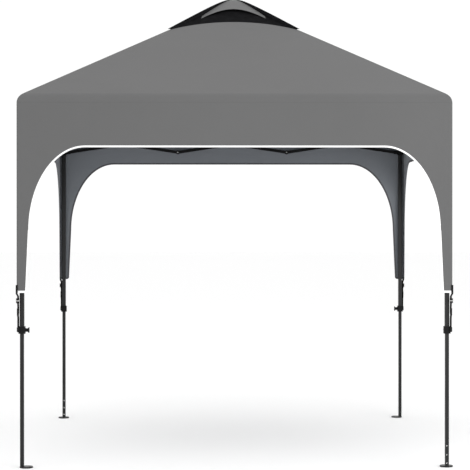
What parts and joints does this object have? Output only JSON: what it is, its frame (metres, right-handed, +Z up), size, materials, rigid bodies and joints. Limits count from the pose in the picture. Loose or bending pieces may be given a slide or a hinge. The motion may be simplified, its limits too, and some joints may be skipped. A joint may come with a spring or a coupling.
{
  "type": "pop-up canopy",
  "caption": "Square pop-up canopy with telescoping legs, scissor side trusses, folding rafters to a central hub, and a vented grey cloth roof with arched leg drapes.",
  "frame": {"origin": "on the ground, at the centre of the four legs", "axes": "+Z up; +Y from the front side to the rear side; +X to the right seen from the front"},
  "size_m": [2.474, 2.474, 2.8118],
  "materials": {
    "cloth": "coated woven polyester, matt grey",
    "mesh": "open knitted mesh, black",
    "frame_steel": "dark charcoal powder coat, satin",
    "fitting_plastic": "moulded nylon, black",
    "button_plastic": "moulded nylon, grey"
  },
  "bodies": {
    "leg_front_left": {"outer_leg_front_left": "frame_steel", "leg_fittings_front_left": "fitting_plastic", "canopy_roof": "cloth", "canopy_valance": "cloth", "vent_cap": "cloth", "vent_mesh": "mesh"},
    "leg_front_right": {"outer_leg_front_right": "frame_steel", "leg_fittings_front_right": "fitting_plastic"},
    "leg_rear_right": {"outer_leg_rear_right": "frame_steel", "leg_fittings_rear_right": "fitting_plastic"},
    "leg_rear_left": {"outer_leg_rear_left": "frame_steel", "leg_fittings_rear_left": "fitting_plastic"},
    "front_down_1": {"front_bar_down_1": "frame_steel"},
    "front_up_1": {"front_bar_up_1": "frame_steel"},
    "front_down_2": {"front_bar_down_2": "frame_steel"},
    "front_up_2": {"front_bar_up_2": "frame_steel"},
    "front_down_3": {"front_bar_down_3": "frame_steel"},
    "front_up_3": {"front_bar_up_3": "frame_steel"},
    "right_down_1": {"right_bar_down_1": "frame_steel"},
    "right_up_1": {"right_bar_up_1": "frame_steel"},
    "right_down_2": {"right_bar_down_2": "frame_steel"},
    "right_up_2": {"right_bar_up_2": "frame_steel"},
    "right_down_3": {"right_bar_down_3": "frame_steel"},
    "right_up_3": {"right_bar_up_3": "frame_steel"},
    "rear_down_1": {"rear_bar_down_1": "frame_steel"},
    "rear_up_1": {"rear_bar_up_1": "frame_steel"},
    "rear_down_2": {"rear_bar_down_2": "frame_steel"},
    "rear_up_2": {"rear_bar_up_2": "frame_steel"},
    "rear_down_3": {"rear_bar_down_3": "frame_steel"},
    "rear_up_3": {"rear_bar_up_3": "frame_steel"},
    "left_down_1": {"left_bar_down_1": "frame_steel"},
    "left_up_1": {"left_bar_up_1": "frame_steel"},
    "left_down_2": {"left_bar_down_2": "frame_steel"},
    "left_up_2": {"left_bar_up_2": "frame_steel"},
    "left_down_3": {"left_bar_down_3": "frame_steel"},
    "left_up_3": {"left_bar_up_3": "frame_steel"},
    "slider_front_left": {"slider_front_left": "fitting_plastic"},
    "inner_leg_front_left": {"inner_leg_front_left": "frame_steel"},
    "knob_front_left": {"leg_lock_knob_front_left": "fitting_plastic"},
    "lower_rafter_front_left": {"lower_rafter_front_left": "frame_steel"},
    "upper_rafter_front_left": {"upper_rafter_front_left": "frame_steel"},
    "slider_front_right": {"slider_front_right": "fitting_plastic"},
    "inner_leg_front_right": {"inner_leg_front_right": "frame_steel"},
    "knob_front_right": {"leg_lock_knob_front_right": "fitting_plastic"},
    "lower_rafter_front_right": {"lower_rafter_front_right": "frame_steel"},
    "upper_rafter_front_right": {"upper_rafter_front_right": "frame_steel"},
    "slider_rear_right": {"slider_rear_right": "fitting_plastic"},
    "inner_leg_rear_right": {"inner_leg_rear_right": "frame_steel"},
    "knob_rear_right": {"leg_lock_knob_rear_right": "fitting_plastic"},
    "lower_rafter_rear_right": {"lower_rafter_rear_right": "frame_steel"},
    "upper_rafter_rear_right": {"upper_rafter_rear_right": "frame_steel"},
    "slider_rear_left": {"slider_rear_left": "fitting_plastic"},
    "inner_leg_rear_left": {"inner_leg_rear_left": "frame_steel"},
    "knob_rear_left": {"leg_lock_knob_rear_left": "fitting_plastic"},
    "lower_rafter_rear_left": {"lower_rafter_rear_left": "frame_steel"},
    "upper_rafter_rear_left": {"upper_rafter_rear_left": "frame_steel"},
    "hub": {"centre_hub": "fitting_plastic"},
    "hub_button": {"hub_release_button": "button_plastic"}
  },
  "joints": [
    {"name": "frame_fold", "type": "hinge", "parent": "leg_front_left", "child": "front_down_1", "pos_m": [-1.165, -1.2, 2.012], "axis": [0, 1, 0], "range_deg": [0, 76], "deforming": ["canopy_roof", "canopy_valance", "vent_cap", "vent_mesh"]},
    {"name": "front_cross_1", "type": "hinge", "parent": "front_down_1", "child": "front_up_1", "pos_m": [-0.77667, -1.2, 1.95258], "axis": [0, 1, 0], "range_deg": [-152, 0]},
    {"name": "slider_front_left_pivot", "type": "hinge", "parent": "front_up_1", "child": "slider_front_left", "pos_m": [-1.165, -1.2, 1.89315], "axis": [0, 1, 0], "range_deg": [0, 76]},
    {"name": "front_top_pivot_1", "type": "hinge", "parent": "front_up_1", "child": "front_down_2", "pos_m": [-0.38833, -1.2, 2.012], "axis": [0, 1, 0], "range_deg": [0, 152]},
    {"name": "front_cross_2", "type": "hinge", "parent": "front_down_2", "child": "front_up_2", "pos_m": [0, -1.2, 1.95258], "axis": [0, 1, 0], "range_deg": [-152, 0]},
    {"name": "front_top_pivot_2", "type": "hinge", "parent": "front_up_2", "child": "front_down_3", "pos_m": [0.38833, -1.2, 2.012], "axis": [0, 1, 0], "range_deg": [0, 152]},
    {"name": "front_cross_3", "type": "hinge", "parent": "front_down_3", "child": "front_up_3", "pos_m": [0.77667, -1.2, 1.95258], "axis": [0, 1, 0], "range_deg": [-152, 0]},
    {"name": "leg_front_right_on_front", "type": "hinge", "parent": "front_up_3", "child": "leg_front_right", "pos_m": [1.165, -1.2, 2.012], "axis": [0, 1, 0], "range_deg": [0, 76]},
    {"name": "slider_front_right_pivot", "type": "hinge", "parent": "front_down_3", "child": "slider_front_right", "pos_m": [1.165, -1.2, 1.89315], "axis": [0, 1, 0], "range_deg": [-76, 0]},
    {"name": "right_down_1_on_leg", "type": "hinge", "parent": "leg_front_right", "child": "right_down_1", "pos_m": [1.2, -1.165, 2.012], "axis": [-1, 0, 0], "range_deg": [0, 76]},
    {"name": "right_cross_1", "type": "hinge", "parent": "right_down_1", "child": "right_up_1", "pos_m": [1.2, -0.77667, 1.95258], "axis": [-1, 0, 0], "range_deg": [-152, 0]},
    {"name": "right_top_pivot_1", "type": "hinge", "parent": "right_up_1", "child": "right_down_2", "pos_m": [1.2, -0.38833, 2.012], "axis": [-1, 0, 0], "range_deg": [0, 152]},
    {"name": "right_cross_2", "type": "hinge", "parent": "right_down_2", "child": "right_up_2", "pos_m": [1.2, 0, 1.95258], "axis": [-1, 0, 0], "range_deg": [-152, 0]},
    {"name": "right_top_pivot_2", "type": "hinge", "parent": "right_up_2", "child": "right_down_3", "pos_m": [1.2, 0.38833, 2.012], "axis": [-1, 0, 0], "range_deg": [0, 152]},
    {"name": "right_cross_3", "type": "hinge", "parent": "right_down_3", "child": "right_up_3", "pos_m": [1.2, 0.77667, 1.95258], "axis": [-1, 0, 0], "range_deg": [-152, 0]},
    {"name": "leg_rear_right_on_right", "type": "hinge", "parent": "right_up_3", "child": "leg_rear_right", "pos_m": [1.2, 1.165, 2.012], "axis": [-1, 0, 0], "range_deg": [0, 76]},
    {"name": "slider_rear_right_pivot", "type": "hinge", "parent": "right_down_3", "child": "slider_rear_right", "pos_m": [1.2, 1.165, 1.89315], "axis": [-1, 0, 0], "range_deg": [-76, 0]},
    {"name": "left_up_3_on_leg", "type": "hinge", "parent": "leg_front_left", "child": "left_up_3", "pos_m": [-1.2, -1.165, 2.012], "axis": [1, 0, 0], "range_deg": [-76, 0]},
    {"name": "left_cross_3", "type": "hinge", "parent": "left_up_3", "child": "left_down_3", "pos_m": [-1.2, -0.77667, 1.95258], "axis": [1, 0, 0], "range_deg": [0, 152]},
    {"name": "left_top_pivot_2", "type": "hinge", "parent": "left_down_3", "child": "left_up_2", "pos_m": [-1.2, -0.38833, 2.012], "axis": [1, 0, 0], "range_deg": [-152, 0]},
    {"name": "left_cross_2", "type": "hinge", "parent": "left_up_2", "child": "left_down_2", "pos_m": [-1.2, 0, 1.95258], "axis": [1, 0, 0], "range_deg": [0, 152]},
    {"name": "left_top_pivot_1", "type": "hinge", "parent": "left_down_2", "child": "left_up_1", "pos_m": [-1.2, 0.38833, 2.012], "axis": [1, 0, 0], "range_deg": [-152, 0]},
    {"name": "left_cross_1", "type": "hinge", "parent": "left_up_1", "child": "left_down_1", "pos_m": [-1.2, 0.77667, 1.95258], "axis": [1, 0, 0], "range_deg": [0, 152]},
    {"name": "leg_rear_left_on_left", "type": "hinge", "parent": "left_down_1", "child": "leg_rear_left", "pos_m": [-1.2, 1.165, 2.012], "axis": [1, 0, 0], "range_deg": [-76, 0]},
    {"name": "slider_rear_left_pivot", "type": "hinge", "parent": "left_up_1", "child": "slider_rear_left", "pos_m": [-1.2, 1.165, 1.89315], "axis": [1, 0, 0], "range_deg": [0, 76]},
    {"name": "rear_up_3_on_leg", "type": "hinge", "parent": "leg_rear_left", "child": "rear_up_3", "pos_m": [-1.165, 1.2, 2.012], "axis": [0, -1, 0], "range_deg": [-76, 0]},
    {"name": "rear_cross_3", "type": "hinge", "parent": "rear_up_3", "child": "rear_down_3", "pos_m": [-0.77667, 1.2, 1.95258], "axis": [0, -1, 0], "range_deg": [0, 152]},
    {"name": "rear_top_pivot_2", "type": "hinge", "parent": "rear_down_3", "child": "rear_up_2", "pos_m": [-0.38833, 1.2, 2.012], "axis": [0, -1, 0], "range_deg": [-152, 0]},
    {"name": "rear_cross_2", "type": "hinge", "parent": "rear_up_2", "child": "rear_down_2", "pos_m": [0, 1.2, 1.95258], "axis": [0, -1, 0], "range_deg": [0, 152]},
    {"name": "rear_top_pivot_1", "type": "hinge", "parent": "rear_down_2", "child": "rear_up_1", "pos_m": [0.38833, 1.2, 2.012], "axis": [0, -1, 0], "range_deg": [-152, 0]},
    {"name": "rear_cross_1", "type": "hinge", "parent": "rear_up_1", "child": "rear_down_1", "pos_m": [0.77667, 1.2, 1.95258], "axis": [0, -1, 0], "range_deg": [0, 152]},
    {"name": "lower_rafter_front_left_pivot", "type": "hinge", "parent": "leg_front_left", "child": "lower_rafter_front_left", "pos_m": [-1.16959, -1.16959, 2.082], "axis": [-0.7071, 0.7071, 0], "range_deg": [0, 102.9]},
    {"name": "rafter_elbow_front_left", "type": "hinge", "parent": "lower_rafter_front_left", "child": "upper_rafter_front_left", "pos_m": [-0.88042, -0.88042, 2.21488], "axis": [-0.7071, 0.7071, 0], "range_deg": [-164.92, 0]},
    {"name": "lower_rafter_front_right_pivot", "type": "hinge", "parent": "leg_front_right", "child": "lower_rafter_front_right", "pos_m": [1.16959, -1.16959, 2.082], "axis": [-0.7071, -0.7071, 0], "range_deg": [0, 102.9]},
    {"name": "rafter_elbow_front_right", "type": "hinge", "parent": "lower_rafter_front_right", "child": "upper_rafter_front_right", "pos_m": [0.88042, -0.88042, 2.21488], "axis": [-0.7071, -0.7071, 0], "range_deg": [-164.92, 0]},
    {"name": "lower_rafter_rear_right_pivot", "type": "hinge", "parent": "leg_rear_right", "child": "lower_rafter_rear_right", "pos_m": [1.16959, 1.16959, 2.082], "axis": [0.7071, -0.7071, 0], "range_deg": [0, 102.9]},
    {"name": "rafter_elbow_rear_right", "type": "hinge", "parent": "lower_rafter_rear_right", "child": "upper_rafter_rear_right", "pos_m": [0.88042, 0.88042, 2.21488], "axis": [0.7071, -0.7071, 0], "range_deg": [-164.92, 0]},
    {"name": "lower_rafter_rear_left_pivot", "type": "hinge", "parent": "leg_rear_left", "child": "lower_rafter_rear_left", "pos_m": [-1.16959, 1.16959, 2.082], "axis": [0.7071, 0.7071, 0], "range_deg": [0, 102.9]},
    {"name": "rafter_elbow_rear_left", "type": "hinge", "parent": "lower_rafter_rear_left", "child": "upper_rafter_rear_left", "pos_m": [-0.88042, 0.88042, 2.21488], "axis": [0.7071, 0.7071, 0], "range_deg": [-164.92, 0]},
    {"name": "hub_pivot", "type": "hinge", "parent": "upper_rafter_front_left", "child": "hub", "pos_m": [-0.02475, -0.02475, 2.76], "axis": [-0.7071, 0.7071, 0], "range_deg": [0, 62.02]},
    {"name": "leg_height_front_left", "type": "slide", "parent": "leg_front_left", "child": "inner_leg_front_left", "axis": [0, 0, 1], "range_m": [0, 0.7]},
    {"name": "leg_lock_pull_front_left", "type": "slide", "parent": "leg_front_left", "child": "knob_front_left", "axis": [1, 0, 0], "range_m": [0, 0.006], "stiffness_N_per_m": 1500, "springref_m": -0.002},
    {"name": "leg_height_front_right", "type": "slide", "parent": "leg_front_right", "child": "inner_leg_front_right", "axis": [0, 0, 1], "range_m": [0, 0.7]},
    {"name": "leg_lock_pull_front_right", "type": "slide", "parent": "leg_front_right", "child": "knob_front_right", "axis": [0, 1, 0], "range_m": [0, 0.006], "stiffness_N_per_m": 1500, "springref_m": -0.002},
    {"name": "leg_height_rear_right", "type": "slide", "parent": "leg_rear_right", "child": "inner_leg_rear_right", "axis": [0, 0, 1], "range_m": [0, 0.7]},
    {"name": "leg_lock_pull_rear_right", "type": "slide", "parent": "leg_rear_right", "child": "knob_rear_right", "axis": [-1, 0, 0], "range_m": [0, 0.006], "stiffness_N_per_m": 1500, "springref_m": -0.002},
    {"name": "leg_height_rear_left", "type": "slide", "parent": "leg_rear_left", "child": "inner_leg_rear_left", "axis": [0, 0, 1], "range_m": [0, 0.7]},
    {"name": "leg_lock_pull_rear_left", "type": "slide", "parent": "leg_rear_left", "child": "knob_rear_left", "axis": [0, -1, 0], "range_m": [0, 0.006], "stiffness_N_per_m": 1500, "springref_m": -0.002},
    {"name": "hub_release_press", "type": "slide", "parent": "hub", "child": "hub_button", "axis": [0, 0, 1], "range_m": [0, 0.006], "stiffness_N_per_m": 1500, "springref_m": -0.002}
  ],
  "couplings": [
    {"joint": "front_cross_1", "follows": "frame_fold", "ratio": -2},
    {"joint": "slider_front_left_pivot", "follows": "frame_fold", "ratio": 1},
    {"joint": "front_top_pivot_1", "follows": "frame_fold", "ratio": 2},
    {"joint": "front_cross_2", "follows": "frame_fold", "ratio": -2},
    {"joint": "front_top_pivot_2", "follows": "frame_fold", "ratio": 2},
    {"joint": "front_cross_3", "follows": "frame_fold", "ratio": -2},
    {"joint": "leg_front_right_on_front", "follows": "frame_fold", "ratio": 1},
    {"joint": "slider_front_right_pivot", "follows": "frame_fold", "ratio": -1},
    {"joint": "right_down_1_on_leg", "follows": "frame_fold", "ratio": 1},
    {"joint": "right_cross_1", "follows": "frame_fold", "ratio": -2},
    {"joint": "right_top_pivot_1", "follows": "frame_fold", "ratio": 2},
    {"joint": "right_cross_2", "follows": "frame_fold", "ratio": -2},
    {"joint": "right_top_pivot_2", "follows": "frame_fold", "ratio": 2},
    {"joint": "right_cross_3", "follows": "frame_fold", "ratio": -2},
    {"joint": "leg_rear_right_on_right", "follows": "frame_fold", "ratio": 1},
    {"joint": "slider_rear_right_pivot", "follows": "frame_fold", "ratio": -1},
    {"joint": "left_up_3_on_leg", "follows": "frame_fold", "ratio": -1},
    {"joint": "left_cross_3", "follows": "frame_fold", "ratio": 2},
    {"joint": "left_top_pivot_2", "follows": "frame_fold", "ratio": -2},
    {"joint": "left_cross_2", "follows": "frame_fold", "ratio": 2},
    {"joint": "left_top_pivot_1", "follows": "frame_fold", "ratio": -2},
    {"joint": "left_cross_1", "follows": "frame_fold", "ratio": 2},
    {"joint": "leg_rear_left_on_left", "follows": "frame_fold", "ratio": -1},
    {"joint": "slider_rear_left_pivot", "follows": "frame_fold", "ratio": 1},
    {"joint": "rear_up_3_on_leg", "follows": "frame_fold", "ratio": -1},
    {"joint": "rear_cross_3", "follows": "frame_fold", "ratio": 2},
    {"joint": "rear_top_pivot_2", "follows": "frame_fold", "ratio": -2},
    {"joint": "rear_cross_2", "follows": "frame_fold", "ratio": 2},
    {"joint": "rear_top_pivot_1", "follows": "frame_fold", "ratio": -2},
    {"joint": "rear_cross_1", "follows": "frame_fold", "ratio": 2},
    {"joint": "lower_rafter_front_left_pivot", "follows": "frame_fold", "ratio": 1.354},
    {"joint": "rafter_elbow_front_left", "follows": "frame_fold", "ratio": -2.17},
    {"joint": "lower_rafter_front_right_pivot", "follows": "frame_fold", "ratio": 1.354},
    {"joint": "rafter_elbow_front_right", "follows": "frame_fold", "ratio": -2.17},
    {"joint": "lower_rafter_rear_right_pivot", "follows": "frame_fold", "ratio": 1.354},
    {"joint": "rafter_elbow_rear_right", "follows": "frame_fold", "ratio": -2.17},
    {"joint": "lower_rafter_rear_left_pivot", "follows": "frame_fold", "ratio": 1.354},
    {"joint": "rafter_elbow_rear_left", "follows": "frame_fold", "ratio": -2.17},
    {"joint": "hub_pivot", "follows": "frame_fold", "ratio": 0.816}
  ]
}
